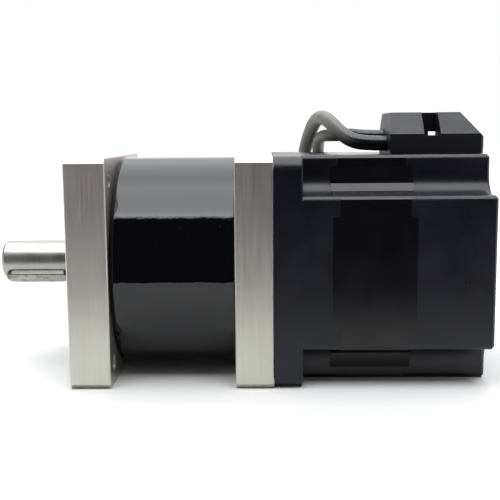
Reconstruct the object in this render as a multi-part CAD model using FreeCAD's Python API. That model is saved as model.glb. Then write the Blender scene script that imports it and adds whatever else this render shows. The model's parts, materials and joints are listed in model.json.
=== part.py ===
import FreeCAD, Part
import math
import os

# Inline planetary gear reducer with its brushless motor, in millimetres.
# X is the common shaft axis and runs from the output side towards the motor.
# X = 0 is the mounting face of the output flange, and Z is up.
# The unit stands on the flat lower edges of its square flanges.

# Square outline shared by the flanges, the adapter and the motor
HALF = 43.0
CORNER_CHAMFER = 2.0
BOLT_HALF = 34.8
FLANGE_HOLE_R = 3.25

# Stations along X, from the mounting face to the back of the motor
PILOT_X = -2.5
FLANGE_X = 15.3
TUBE_X = 62.0
ADAPTER_X = 76.3
MOTOR_FLANGE_X = 86.9
FRONT_BELL_X = 97.8
STACK_X = 128.6
REAR_X = 157.3

# Reducer housing
PILOT_R = 30.0
TUBE_R = 42.0
TUBE_BORE_R = 34.0
SPIGOT_GAP = 0.05
TEETH_X0 = 40.0
TEETH_X1 = 58.0
HOUSING_SCREW_PCR = 38.0
HOUSING_SCREW_R = 2.0
HOUSING_SCREW_COUNT = 8
HOUSING_SCREW_HEAD_R = 3.5
HOUSING_SCREW_HEAD = 4.0
HOUSING_SCREW_START = 22.5
SPIGOT_END = 35.0
SEAL_X0 = -2.3
SEAL_X1 = 3.7
SEAL_R = 17.5
SEAL_SHOULDER_R = 15.0
BEARING_BORE_R = 21.0
BEARING_SHOULDER_X = 5.5
CLIP_X0 = 31.6
CLIP_X1 = 33.3
CLIP_GROOVE_R = 22.2
O_RING_R = 0.85
O_RING_X = 20.0
FLANGE_HEAD_X = 0.4
FLANGE_SHANK = 20.0

# Adapter plate between the housing and the motor
ADAPTER_SPIGOT_X = 59.6
ADAPTER_POCKET_R = 31.0
ADAPTER_POCKET_X = 64.5
ADAPTER_HEAD_X = 74.3
ADAPTER_SHANK = 18.0
INPUT_SEAL_R = 18.0
INPUT_SEAL_X0 = 66.4
INPUT_SEAL_X1 = 72.4
MOTOR_PILOT_R = 36.5
MOTOR_PILOT_X = 74.5
MOTOR_SCREW_R = 2.5
MOTOR_SCREW_HEAD_R = 4.25
MOTOR_SCREW_HEAD = 5.0
MOTOR_SCREW_HEAD_X = 62.3
MOTOR_SCREW_SHANK = 18.5

# Gear train, module 1: the ring gear is fixed and the carrier is the output
MODULE = 1.0
SUN_TEETH = 16
PLANET_TEETH = 24
RING_TEETH = 64
PLANET_COUNT = 4
PRESSURE_ANGLE = math.radians(20.0)
BACKLASH = 0.06
CENTRE_DISTANCE = MODULE * (SUN_TEETH + PLANET_TEETH) / 2
PLANET_X0 = 41.55
PLANET_X1 = 54.45

# Output shaft and planet carrier
SHAFT_R = 8.0
SHAFT_TIP_X = -34.3
SHAFT_CHAMFER = 1.0
SEAT_R = 10.0
SEAT_X0 = -3.2
SHAFT_CLIP_X0 = 4.2
SHAFT_CLIP_X1 = 5.4
SHAFT_COLLAR_X = 31.5
SHAFT_COLLAR_R = 13.5
CENTRE_HOLE_R = 1.6
CARRIER_SCREW_R = 1.5
CARRIER_R = 29.0
CARRIER_X0 = 36.0
CARRIER_X1 = 41.0
REAR_PLATE_X0 = 55.0
REAR_PLATE_X1 = 59.0
PILLAR_R = 3.8
PILLAR_PCR = 24.8
PIN_R = 4.0
BUSH_R = 5.5
PIN_GAP = 0.03

# Parallel key: at rest it faces -Y, below the horizontal
KEY_WIDTH = 5.0
KEY_HEIGHT = 5.0
KEY_X0 = -32.3
KEY_X1 = -7.3
KEY_PROUD = 2.0
KEY_GAP = 0.3
KEY_ANGLE = 222.0

# Ball bearings: (X start, width, bore radius, outer radius, ball radius, balls)
BALL_BEARINGS = {
    "front_output_bearing": (5.5, 12.0, SEAT_R, 21.0, 3.1, 9),
    "rear_output_bearing": (19.5, 12.0, SEAT_R, 21.0, 3.1, 9),
    "front_motor_bearing": (79.5, 12.0, 8.5, 20.0, 3.1, 8),
    "rear_motor_bearing": (142.0, 11.0, 7.5, 17.5, 2.8, 8),
}
RACE_TO_PITCH = 2.2
CAGE_HALF = 1.1
GROOVE_GAP = 0.15

# Motor outline: a square with stepped corners, rounder on the cast bells than on the laminations
ARM_HALF = 28.5
BELL_CORNER_R = 7.2
BELL_EDGE_R = 2.0
STACK_CORNER = 10.0
STACK_FACET_LOW = 1.4
STACK_FACET_HIGH = 4.1
STACK_EDGE = 1.0
STACK_INSET = 0.08
FLANGE_CORNER_R = 5.5
TAB_LENGTH = 2.6
TAB_WIDTH = 7.4
TAB_DEPTH = 4.3

# Motor inside
BELL_CAVITY_R = 36.5
FRONT_CAVITY_X = 89.0
FRONT_BOSS_X = 91.5
FRONT_BOSS_WALL = 3.0
FRONT_SHAFT_HOLE_R = 13.0
REAR_BOSS_R = 20.5
REAR_POCKET_X = 154.4
REAR_WALL = 5.0
STATOR_BORE_R = 24.4
SLOT_COUNT = 12
SLOT_R0 = 26.4
SLOT_R1 = 36.0
TOOTH_WIDTH = 6.2
SLOT_OPENING = 2.4
POLE_COUNT = 8
MAGNET_R0 = 20.8
MAGNET_R1 = 23.4
COIL_X0 = 93.6
COIL_X1 = 132.8
COIL_R0 = 27.5
COIL_R1 = 34.4
BOBBIN_R0 = 26.9
BOBBIN_R1 = 35.2
MOTOR_SHAFT_R = 7.0
MOTOR_SHAFT_X0 = 62.2
MOTOR_SHAFT_X1 = 153.5
FRONT_SEAT_X = 79.5
FRONT_SEAT_R = 8.5
SHAFT_SHOULDER_X = 94.5
SHAFT_SHOULDER_R = 11.0
ROTOR_BORE_R = 10.0
ROTOR_X0 = 98.5
ROTOR_X1 = 128.0
ROTOR_HOLE_R = 2.2
ROTOR_HOLE_PCR = 15.4
SENSOR_MAGNET_R = 14.5
SENSOR_MAGNET_X1 = 133.0
REAR_NECK_R = 9.0
REAR_SEAT_X = 142.0
REAR_SEAT_R = 7.5
MAGNET_HALF_SPAN = 20.0
HUB_R = 12.0
HUB_X1 = 74.0
BOARD_X0 = 138.6
BOARD_X1 = 140.2
BOARD_R0 = 11.5
BOARD_R1 = 34.0
BELL_SCREW_Y = 24.0
BELL_SCREW_Z = 37.4
BELL_SCREW_R = 2.0
BELL_SCREW_HEAD_R = 3.5
BELL_SCREW_POCKET = 4.5
LEAD_X0 = 141.0
LEAD_X1 = 151.0

# Cable cover on top of the rear bell
COVER_X0 = 121.7
COVER_X1 = 157.8
COVER_HALF = 16.5
COVER_SHOULDER = 50.6
COVER_TOP = 59.0
COVER_SLOPE = 8.2
COVER_WALL = 2.0
REAR_SLOPE_X = 156.6
REAR_SLOPE_TOP_X = 150.2
REAR_BEVEL = 1.2
SLOT_X0 = 134.9
SLOT_X1 = 141.3
SLOT_FLOOR = 49.9
PASSAGE_X0 = 139.0
PASSAGE_X1 = 145.2
PASSAGE_HEIGHT = 1.6
RIB_Y0 = -1.5
RIB_Y1 = 4.5
COVER_SCREW_X = 137.2
COVER_SCREW_Y = 1.5
COVER_SCREW_SEAT = 55.0
COVER_SCREW_R = 1.25
GROMMET_EDGE = 0.5

# Two free cables: their exits and routes, all points as (X, Y, Z)
POWER_CABLE_R = 3.0
SIGNAL_CABLE_R = 2.6
POWER_ROUTE = [
    (121.7, -5.0, 47.0),
    (114.5, -5.0, 47.0),
    (108.2, -3.6, 48.0),
    (103.2, 0.4, 51.8),
    (99.8, 7.2, 56.2),
    (97.4, 16.4, 58.0),
    (95.6, 26.8, 57.0),
    (93.8, 37.0, 52.6),
    (92.0, 46.5, 45.2),
    (90.6, 53.5, 35.0),
    (89.4, 58.0, 21.0),
    (88.6, 60.0, 4.0),
    (88.8, 61.0, -13.0),
    (92.0, 62.5, -28.5),
    (101.5, 65.5, -38.0),
    (115.0, 68.0, -40.0),
    (130.0, 72.5, -40.0),
    (144.5, 82.0, -40.0),
    (150.5, 98.0, -40.0),
    (144.5, 114.0, -40.0),
    (129.5, 122.5, -40.0),
    (112.5, 123.5, -40.0),
    (96.0, 120.0, -40.0),
]
SIGNAL_ROUTE = [
    (121.7, 4.6, 49.7),
    (114.6, 4.6, 49.7),
    (108.0, 8.2, 50.6),
    (102.6, 15.2, 50.2),
    (98.8, 24.4, 50.2),
    (97.2, 34.4, 48.6),
    (97.4, 43.4, 42.2),
    (98.2, 50.2, 31.5),
    (98.6, 52.8, 17.5),
    (98.0, 54.0, 1.0),
    (94.0, 54.8, -16.0),
    (86.0, 55.8, -30.5),
    (73.5, 57.0, -39.0),
    (57.0, 58.0, -40.4),
    (39.0, 57.5, -40.4),
    (21.5, 61.0, -40.4),
    (7.5, 71.5, -40.4),
    (2.5, 88.0, -40.4),
    (8.5, 104.0, -40.4),
    (23.0, 113.5, -40.4),
    (40.0, 114.0, -40.4),
]


def vec(x, y, z):
    return FreeCAD.Vector(x, y, z)


AXIS = vec(1, 0, 0)
ORIGIN = vec(0, 0, 0)


def cylinder(radius, x0, x1, y=0.0, z=0.0):
    return Part.makeCylinder(radius, x1 - x0, vec(x0, y, z), AXIS)


def tube(outer, inner, x0, x1, y=0.0, z=0.0):
    return cylinder(outer, x0, x1, y, z).cut(cylinder(inner, x0, x1, y, z))


def box(x0, x1, y0, y1, z0, z1):
    return Part.makeBox(x1 - x0, y1 - y0, z1 - z0, vec(x0, y0, z0))


def turned(profile):
    """A solid turned about the X axis from (x, radius) points."""
    points = [vec(x, 0, r) for x, r in profile]
    wire = Part.makePolygon(points + [points[0]])
    return Part.Face(wire).revolve(ORIGIN, AXIS, 360)


def prism(outline, x0, x1):
    """A prism along X from (y, z) points."""
    points = [vec(x0, y, z) for y, z in outline]
    wire = Part.makePolygon(points + [points[0]])
    return Part.Face(wire).extrude(vec(x1 - x0, 0, 0))


def rotated(shape, degrees):
    copy = shape.copy()
    copy.rotate(ORIGIN, AXIS, degrees)
    return copy


def around(shape, count, start=0.0):
    """Copies of a shape, evenly spaced about the X axis."""
    return [rotated(shape, start + 360.0 * k / count) for k in range(count)]


def at_corners(make):
    """One shape for each of the four bolt positions."""
    return [make(y, z) for y in (-BOLT_HALF, BOLT_HALF) for z in (-BOLT_HALF, BOLT_HALF)]


def save(node, shapes):
    solids = shapes if isinstance(shapes, list) else [shapes]
    shape = solids[0] if len(solids) == 1 else Part.makeCompound(solids)
    shape.exportStep("parts/%s.step" % node)


# Square plates and the stepped motor outline


def edges_along_x(shape, test):
    found = []
    for edge in shape.Edges:
        a, b = edge.Vertexes[0].Point, edge.Vertexes[-1].Point
        if abs(a.y - b.y) < 1e-6 and abs(a.z - b.z) < 1e-6 and test(abs(a.y), abs(a.z)):
            found.append(edge)
    return found


def edges_at_end(shape, x):
    return [e for e in shape.Edges if all(abs(v.Point.x - x) < 1e-6 for v in e.Vertexes)]


def square_plate(x0, x1, edge_chamfer=0.4):
    """An 86 mm square plate with chamfered long corners and broken edges."""
    plate = box(x0, x1, -HALF, HALF, -HALF, HALF)
    plate = plate.makeChamfer(CORNER_CHAMFER, edges_along_x(plate, lambda y, z: True))
    return plate.makeChamfer(edge_chamfer, edges_at_end(plate, x0) + edges_at_end(plate, x1))


def four_quarters(quarter):
    """A closed outline from one quarter's (y, z) points, repeated round the X axis."""
    outline = []
    for c, s in ((1, 0), (0, 1), (-1, 0), (0, -1)):
        outline += [(c * y - s * z, s * y + c * z) for y, z in quarter]
    return outline


def stepped_prism(x0, x1):
    """The cast bell outline: a cross with rounded inner corners and edges."""
    cross = prism(four_quarters([(HALF, ARM_HALF), (ARM_HALF, ARM_HALF), (ARM_HALF, HALF)]), x0, x1)
    inner = edges_along_x(cross, lambda y, z: y < HALF - 1 and z < HALF - 1)
    cross = cross.makeFillet(BELL_CORNER_R, inner)
    outer = edges_along_x(cross, lambda y, z: max(y, z) > HALF - 1e-6 and min(y, z) > ARM_HALF - 1)
    return cross.makeFillet(BELL_EDGE_R, outer)


def stack_outline():
    """The lamination outline: the same cross with faceted inner corners, slightly smaller."""
    half = HALF - STACK_INSET
    arm = ARM_HALF - STACK_INSET
    low = arm + STACK_FACET_LOW
    high = arm + STACK_FACET_HIGH
    quarter = [
        (half, arm - STACK_EDGE),
        (half - STACK_EDGE, arm),
        (arm + STACK_CORNER, arm),
        (high, low),
        (low, high),
        (arm, arm + STACK_CORNER),
        (arm, half - STACK_EDGE),
        (arm - STACK_EDGE, half),
    ]
    return four_quarters(quarter)


def tab_blocks(x0, x1):
    """Blocks at the arm corners, where each bell laps over the stack."""
    inner = ARM_HALF - TAB_WIDTH
    deep = HALF - TAB_DEPTH
    pair = [box(x0, x1, deep, HALF, inner, ARM_HALF), box(x0, x1, deep, HALF, -ARM_HALF, -inner)]
    return [rotated(block, 90.0 * k) for k in range(4) for block in pair]


# Gears


def involute_angle(base_r, radius):
    pressure = math.acos(min(1.0, base_r / radius))
    return math.tan(pressure) - pressure


def gear_wire(teeth, tip_r, root_r, thickness, phase, x):
    """Outline of an involute gear at X = x. phase turns the first tooth, in radians."""
    pitch_r = MODULE * teeth / 2
    base_r = pitch_r * math.cos(PRESSURE_ANGLE)
    half_at_base = thickness / (2 * pitch_r) + involute_angle(base_r, pitch_r)
    start_r = max(base_r, root_r)

    def point(radius, angle):
        return vec(x, radius * math.cos(angle), radius * math.sin(angle))

    def half_angle(radius):
        return half_at_base - involute_angle(base_r, radius)

    edges = []
    step = 2 * math.pi / teeth
    middle_r = (start_r + tip_r) / 2
    for k in range(teeth):
        centre = phase + k * step
        low, mid, tip = half_angle(start_r), half_angle(middle_r), half_angle(tip_r)
        right = [point(start_r, centre - low), point(middle_r, centre - mid), point(tip_r, centre - tip)]
        left = [point(tip_r, centre + tip), point(middle_r, centre + mid), point(start_r, centre + low)]
        if start_r > root_r:
            edges.append(Part.LineSegment(point(root_r, centre - low), right[0]).toShape())
        edges.append(Part.Arc(*right).toShape())
        edges.append(Part.Arc(right[2], point(tip_r, centre), left[0]).toShape())
        edges.append(Part.Arc(*left).toShape())
        if start_r > root_r:
            edges.append(Part.LineSegment(left[2], point(root_r, centre + low)).toShape())
        root = [point(root_r, a) for a in (centre + low, centre + step / 2, centre + step - low)]
        edges.append(Part.Arc(*root).toShape())
    return Part.Wire(edges)


def gear_prism(teeth, tip_r, root_r, thickness, phase, x0, x1):
    wire = gear_wire(teeth, tip_r, root_r, thickness, phase, x0)
    return Part.Face(wire).extrude(vec(x1 - x0, 0, 0))


def external_gear(teeth, phase, x0, x1):
    pitch_r = MODULE * teeth / 2
    thickness = math.pi * MODULE / 2 - BACKLASH
    return gear_prism(teeth, pitch_r + MODULE, pitch_r - 1.25 * MODULE, thickness, phase, x0, x1)


# Ball bearings


def ball_bearing(name):
    """Outer race, inner race, and the balls in their cage, with running gaps between them."""
    x0, width, bore, outer, ball_r, count = BALL_BEARINGS[name]
    x1 = x0 + width
    middle = x0 + width / 2
    pitch = (bore + outer) / 2
    groove = Part.makeTorus(pitch, ball_r + GROOVE_GAP, vec(middle, 0, 0), AXIS)
    outer_race = tube(outer, pitch + RACE_TO_PITCH, x0, x1).cut(groove)
    inner_race = tube(pitch - RACE_TO_PITCH, bore, x0, x1).cut(groove)
    ball = Part.makeSphere(ball_r, vec(middle, pitch, 0))
    pocket = Part.makeSphere(ball_r + GROOVE_GAP, vec(middle, pitch, 0))
    cage = tube(pitch + CAGE_HALF, pitch - CAGE_HALF, middle - ball_r - 0.9, middle + ball_r + 0.9)
    for hole in around(pocket, count):
        cage = cage.cut(hole)
    save(name + "_outer_race", outer_race)
    save(name + "_inner_race", inner_race)
    save(name + "_balls", around(ball, count) + [cage])


# Fasteners


def cap_screw(x_head, shank_r, head_r, head_length, shank_length, y=0.0, z=0.0):
    """Socket-head screw whose head starts at x_head; a negative shank_length points it to -X."""
    way = 1 if shank_length > 0 else -1
    seat = x_head + way * head_length
    end = seat + shank_length
    head = cylinder(head_r, min(x_head, seat), max(x_head, seat), y, z)
    shank = cylinder(shank_r, min(seat, end), max(seat, end), y, z)
    socket_r = 0.55 * head_r * 2 / math.sqrt(3)
    socket_end = x_head + way * 0.55 * head_length
    turns = [math.radians(60 * k) for k in range(6)]
    corners = [(y + socket_r * math.cos(t), z + socket_r * math.sin(t)) for t in turns]
    socket = prism(corners, min(x_head, socket_end), max(x_head, socket_end))
    return head.fuse(shank).removeSplitter().cut(socket)


def circlip(inner_r, outer_r, x0, x1, lug_pcr, lug_r, gap):
    """Retaining ring with an opening at the top and a pierced lug on each side of it."""
    ring = tube(outer_r, inner_r, x0, x1)
    for side in (-1, 1):
        ring = ring.fuse(cylinder(lug_r, x0, x1, side * (gap / 2 + lug_r), lug_pcr))
    ring = ring.cut(box(x0, x1, -gap / 2, gap / 2, 0, outer_r + 5))
    for side in (-1, 1):
        ring = ring.cut(cylinder(0.6 * lug_r, x0, x1, side * (gap / 2 + lug_r), lug_pcr))
    return ring.removeSplitter()


def parallel_key(x0, x1, width, z0, z1, round_ends):
    """Key along X with its top at z1."""
    if not round_ends:
        return box(x0, x1, -width / 2, width / 2, z0, z1)
    r = width / 2
    body = box(x0 + r, x1 - r, -r, r, z0, z1)
    for x in (x0 + r, x1 - r):
        body = body.fuse(Part.makeCylinder(r, z1 - z0, vec(x, 0, z0)))
    return body.removeSplitter()


# Reducer housing


def housing_screw_ring(shape):
    at_rim = shape.copy()
    at_rim.translate(vec(0, HOUSING_SCREW_PCR, 0))
    return around(at_rim, HOUSING_SCREW_COUNT, HOUSING_SCREW_START)


def output_flange():
    flange = square_plate(0, FLANGE_X)
    flange = flange.fuse(turned([
        (PILOT_X, 0), (PILOT_X, PILOT_R - 0.5), (PILOT_X + 0.5, PILOT_R), (1, PILOT_R), (1, 0)]))
    spigot_r = TUBE_BORE_R - SPIGOT_GAP
    flange = flange.fuse(cylinder(spigot_r, FLANGE_X - 1, SPIGOT_END)).removeSplitter()
    flange = flange.cut(cylinder(SEAL_R, PILOT_X, SEAL_X1 + 0.1))
    flange = flange.cut(cylinder(SEAL_SHOULDER_R, SEAL_X1, BEARING_SHOULDER_X))
    flange = flange.cut(cylinder(BEARING_BORE_R, BEARING_SHOULDER_X, SPIGOT_END))
    flange = flange.cut(cylinder(CLIP_GROOVE_R, CLIP_X0, CLIP_X1))
    groove_x = O_RING_X
    flange = flange.cut(tube(TUBE_BORE_R, spigot_r - 2 * O_RING_R, groove_x - 1.1, groove_x + 1.1))
    for hole in at_corners(lambda y, z: cylinder(FLANGE_HOLE_R, 0, FLANGE_X, y, z)):
        flange = flange.cut(hole)
    clearance = HOUSING_SCREW_R + 0.2
    pocket = HOUSING_SCREW_HEAD_R + 0.25
    seat = FLANGE_HEAD_X + HOUSING_SCREW_HEAD
    for hole in housing_screw_ring(cylinder(clearance, 0, FLANGE_X)):
        flange = flange.cut(hole)
    for hole in housing_screw_ring(cylinder(pocket, 0, seat)):
        flange = flange.cut(hole)
    return flange


def ring_gear_housing():
    body = turned([
        (FLANGE_X, TUBE_BORE_R), (FLANGE_X, TUBE_R - 1.5), (FLANGE_X + 1.8, TUBE_R),
        (TUBE_X - 0.5, TUBE_R), (TUBE_X, TUBE_R - 0.5), (TUBE_X, TUBE_BORE_R)])
    pitch_r = MODULE * RING_TEETH / 2
    blank = tube(TUBE_BORE_R + 1, pitch_r - 2 * MODULE, TEETH_X0, TEETH_X1)
    space = math.pi * MODULE / 2 + BACKLASH
    half_pitch = math.pi / RING_TEETH
    cutter = gear_prism(RING_TEETH, pitch_r + 1.25 * MODULE, pitch_r - MODULE, space, half_pitch,
                        TEETH_X0 - 1, TEETH_X1 + 1)
    body = body.fuse(blank.cut(cutter)).removeSplitter()
    front_end = FLANGE_HEAD_X + HOUSING_SCREW_HEAD + FLANGE_SHANK + 2
    rear_end = ADAPTER_HEAD_X - HOUSING_SCREW_HEAD - ADAPTER_SHANK - 2
    for hole in housing_screw_ring(cylinder(HOUSING_SCREW_R, FLANGE_X, front_end)):
        body = body.cut(hole)
    for hole in housing_screw_ring(cylinder(HOUSING_SCREW_R, rear_end, TUBE_X)):
        body = body.cut(hole)
    return body


def adapter_plate():
    plate = square_plate(TUBE_X, ADAPTER_X)
    plate = plate.fuse(cylinder(TUBE_BORE_R - SPIGOT_GAP, ADAPTER_SPIGOT_X, TUBE_X + 1)).removeSplitter()
    plate = plate.cut(cylinder(ADAPTER_POCKET_R, ADAPTER_SPIGOT_X, ADAPTER_POCKET_X))
    plate = plate.cut(cylinder(SEAL_SHOULDER_R, ADAPTER_POCKET_X, ADAPTER_X))
    plate = plate.cut(cylinder(INPUT_SEAL_R, INPUT_SEAL_X0, ADAPTER_X))
    plate = plate.cut(cylinder(MOTOR_PILOT_R + 0.1, MOTOR_PILOT_X, ADAPTER_X))
    seat = ADAPTER_HEAD_X - HOUSING_SCREW_HEAD
    for hole in housing_screw_ring(cylinder(HOUSING_SCREW_R + 0.2, ADAPTER_SPIGOT_X, ADAPTER_X)):
        plate = plate.cut(hole)
    for hole in housing_screw_ring(cylinder(HOUSING_SCREW_HEAD_R + 0.25, seat, ADAPTER_X)):
        plate = plate.cut(hole)
    motor_seat = MOTOR_SCREW_HEAD_X + MOTOR_SCREW_HEAD
    for hole in at_corners(lambda y, z: cylinder(MOTOR_SCREW_R + 0.25, TUBE_X, ADAPTER_X, y, z)):
        plate = plate.cut(hole)
    for hole in at_corners(lambda y, z: cylinder(MOTOR_SCREW_HEAD_R + 0.25, TUBE_X, motor_seat, y, z)):
        plate = plate.cut(hole)
    return plate


def lip_seal(x0, x1, shaft_r, outer_r):
    """Radial shaft seal: a cup open to +X with a lip that just clears the shaft."""
    lip_r = shaft_r + 0.05
    return turned([
        (x0, lip_r + 0.8), (x0, outer_r), (x1, outer_r), (x1, outer_r - 1.5), (x0 + 1.5, outer_r - 1.5),
        (x0 + 1.5, lip_r + 2.0), (x0 + 4.0, lip_r + 1.5), (x0 + 5.0, lip_r + 1.5), (x0 + 5.0, lip_r + 0.7),
        (x0 + 4.2, lip_r), (x0 + 3.4, lip_r + 0.8)])


def garter_spring():
    return Part.makeTorus(SEAT_R + 0.05 + 1.5 + 0.55, 0.5, vec(SEAL_X0 + 4.5, 0, 0), AXIS)


# Output shaft, carrier and planets


def key_slot(shape, x0, x1, width, z0, angle):
    return shape.cut(rotated(parallel_key(x0, x1, width, z0, SHAFT_R + 6, True), angle))


def output_shaft():
    shaft = turned([
        (SHAFT_TIP_X, 0), (SHAFT_TIP_X, SHAFT_R - SHAFT_CHAMFER), (SHAFT_TIP_X + SHAFT_CHAMFER, SHAFT_R),
        (SEAT_X0, SHAFT_R), (SEAT_X0, SEAT_R - 0.5), (SEAT_X0 + 0.5, SEAT_R), (SHAFT_CLIP_X0, SEAT_R),
        (SHAFT_CLIP_X0, SEAT_R - 0.5), (BEARING_SHOULDER_X, SEAT_R - 0.5), (BEARING_SHOULDER_X, SEAT_R),
        (SHAFT_COLLAR_X, SEAT_R), (SHAFT_COLLAR_X, SHAFT_COLLAR_R), (CARRIER_X0, SHAFT_COLLAR_R),
        (CARRIER_X0, CARRIER_R - 0.5), (CARRIER_X0 + 0.5, CARRIER_R), (CARRIER_X1, CARRIER_R),
        (CARRIER_X1, 0)])
    pillar = cylinder(PILLAR_R, CARRIER_X1 - 1, REAR_PLATE_X0, PILLAR_PCR)
    for post in around(pillar, PLANET_COUNT, 45.0):
        shaft = shaft.fuse(post)
    shaft = shaft.removeSplitter()
    for hole in around(cylinder(PIN_R, CARRIER_X0, CARRIER_X1, CENTRE_DISTANCE), PLANET_COUNT):
        shaft = shaft.cut(hole)
    screw_hole = cylinder(CARRIER_SCREW_R, REAR_PLATE_X0 - 9, REAR_PLATE_X0, PILLAR_PCR)
    for hole in around(screw_hole, PLANET_COUNT, 45.0):
        shaft = shaft.cut(hole)
    mouth = 1.5 * CENTRE_HOLE_R
    shaft = shaft.cut(Part.makeCone(mouth, 0, mouth, vec(SHAFT_TIP_X, 0, 0), AXIS))
    shaft = shaft.cut(cylinder(CENTRE_HOLE_R, SHAFT_TIP_X, SHAFT_TIP_X + 9))
    floor_z = SHAFT_R + KEY_PROUD - KEY_HEIGHT
    width = KEY_WIDTH + 2 * KEY_GAP
    return key_slot(shaft, KEY_X0 - KEY_GAP, KEY_X1 + KEY_GAP, width, floor_z, KEY_ANGLE - 90)


def shaft_key():
    top = SHAFT_R + KEY_PROUD
    key = parallel_key(KEY_X0, KEY_X1, KEY_WIDTH, top - KEY_HEIGHT, top, True)
    top_edges = [e for e in key.Edges if all(abs(v.Point.z - top) < 1e-6 for v in e.Vertexes)]
    key = key.makeChamfer(0.25, top_edges)
    return rotated(key, KEY_ANGLE - 90)


def carrier_screw(x_face):
    """Countersunk screw with its flat head at x_face, pointing to -X."""
    head = 1.7
    cone = Part.makeCone(CARRIER_SCREW_R, 3.0, head, vec(x_face - head, PILLAR_PCR, 0), AXIS)
    shank = cylinder(CARRIER_SCREW_R, x_face - 12, x_face - head, PILLAR_PCR)
    socket = prism([(PILLAR_PCR + math.cos(math.radians(60 * k)), math.sin(math.radians(60 * k)))
                    for k in range(6)], x_face - 1.2, x_face)
    return cone.fuse(shank).removeSplitter().cut(socket)


def carrier_rear_plate():
    plate = tube(CARRIER_R, 10.5, REAR_PLATE_X0, REAR_PLATE_X1)
    for hole in around(cylinder(PIN_R, REAR_PLATE_X0, REAR_PLATE_X1, CENTRE_DISTANCE), PLANET_COUNT):
        plate = plate.cut(hole)
    screw = carrier_screw(REAR_PLATE_X1)
    filled = screw.fuse(cylinder(1.3, REAR_PLATE_X1 - 2, REAR_PLATE_X1, PILLAR_PCR))
    for hole in around(filled, PLANET_COUNT, 45.0):
        plate = plate.cut(hole)
    return plate


def planet_gear():
    """A planet on the +Y side, with a tooth gap facing the sun and another facing the ring."""
    gear = external_gear(PLANET_TEETH, math.pi / PLANET_TEETH, PLANET_X0, PLANET_X1)
    gear = gear.cut(cylinder(BUSH_R, PLANET_X0, PLANET_X1))
    gear.translate(vec(0, CENTRE_DISTANCE, 0))
    return gear


def sun_gear():
    """Sun teeth and the hub that is pressed over the motor shaft and its key."""
    neck_x = TEETH_X1 + 1.2
    gear = external_gear(SUN_TEETH, 0.0, PLANET_X0, neck_x)
    gear = gear.fuse(turned([
        (neck_x - 0.5, 0), (neck_x - 0.5, 6.7), (neck_x + 1.3, 6.7), (neck_x + 1.3, HUB_R - 0.5),
        (neck_x + 1.8, HUB_R), (HUB_X1 - 0.5, HUB_R), (HUB_X1, HUB_R - 0.5), (HUB_X1, 0)]))
    gear = gear.removeSplitter().cut(cylinder(MOTOR_SHAFT_R, MOTOR_SHAFT_X0 - 0.6, HUB_X1))
    return gear.cut(sun_key())


def sun_key():
    return box(MOTOR_SHAFT_X0, HUB_X1, -2.5, 2.5, 4.5, 9.0)


# Motor


def bell_screw_places():
    return [(y, z) for y in (-BELL_SCREW_Y, BELL_SCREW_Y) for z in (-BELL_SCREW_Z, BELL_SCREW_Z)]


def front_bell():
    flange = box(ADAPTER_X, MOTOR_FLANGE_X, -HALF, HALF, -HALF, HALF)
    flange = flange.makeFillet(FLANGE_CORNER_R, edges_along_x(flange, lambda y, z: True))
    flange = flange.makeChamfer(0.5, edges_at_end(flange, MOTOR_FLANGE_X))
    bell = flange.fuse(stepped_prism(MOTOR_FLANGE_X - 1, FRONT_BELL_X))
    bell = bell.fuse(cylinder(MOTOR_PILOT_R, MOTOR_PILOT_X + 0.1, ADAPTER_X + 1)).removeSplitter()
    laps = stepped_prism(FRONT_BELL_X - 0.5, FRONT_BELL_X + TAB_LENGTH)
    blocks = Part.makeCompound(tab_blocks(FRONT_BELL_X - 0.5, FRONT_BELL_X + TAB_LENGTH))
    bell = bell.fuse(laps.common(blocks)).removeSplitter()
    outer_r = BALL_BEARINGS["front_motor_bearing"][3]
    bearing_x = BALL_BEARINGS["front_motor_bearing"][0]
    bell = bell.cut(tube(BELL_CAVITY_R, outer_r + FRONT_BOSS_WALL, FRONT_CAVITY_X, FRONT_BELL_X))
    bell = bell.cut(cylinder(BELL_CAVITY_R, FRONT_BOSS_X, FRONT_BELL_X))
    bell = bell.cut(cylinder(outer_r, bearing_x, FRONT_BOSS_X))
    bell = bell.cut(cylinder(FRONT_SHAFT_HOLE_R, MOTOR_PILOT_X, bearing_x))
    for hole in at_corners(lambda y, z: cylinder(MOTOR_SCREW_R, ADAPTER_X, MOTOR_FLANGE_X, y, z)):
        bell = bell.cut(hole)
    for y, z in bell_screw_places():
        bell = bell.cut(cylinder(BELL_SCREW_R, MOTOR_FLANGE_X, FRONT_BELL_X + TAB_LENGTH, y, z))
    return bell


def stator_stack():
    stack = prism(stack_outline(), FRONT_BELL_X, STACK_X)
    for x0, x1 in ((FRONT_BELL_X, FRONT_BELL_X + TAB_LENGTH), (STACK_X - TAB_LENGTH, STACK_X)):
        for block in tab_blocks(x0, x1):
            stack = stack.cut(block)
    stack = stack.cut(cylinder(STATOR_BORE_R, FRONT_BELL_X, STACK_X))
    slots = tube(SLOT_R1, SLOT_R0, FRONT_BELL_X, STACK_X)
    tooth = box(FRONT_BELL_X, STACK_X, SLOT_R0 - 2, SLOT_R1 + 2, -TOOTH_WIDTH / 2, TOOTH_WIDTH / 2)
    for t in around(tooth, SLOT_COUNT):
        slots = slots.cut(t)
    stack = stack.cut(slots)
    mouth = box(FRONT_BELL_X, STACK_X, STATOR_BORE_R - 2, SLOT_R0 + 1, -SLOT_OPENING / 2, SLOT_OPENING / 2)
    for m in around(mouth, SLOT_COUNT, 180.0 / SLOT_COUNT):
        stack = stack.cut(m)
    for y, z in bell_screw_places():
        stack = stack.cut(cylinder(BELL_SCREW_R + 0.2, FRONT_BELL_X, STACK_X, y, z))
    return stack


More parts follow.
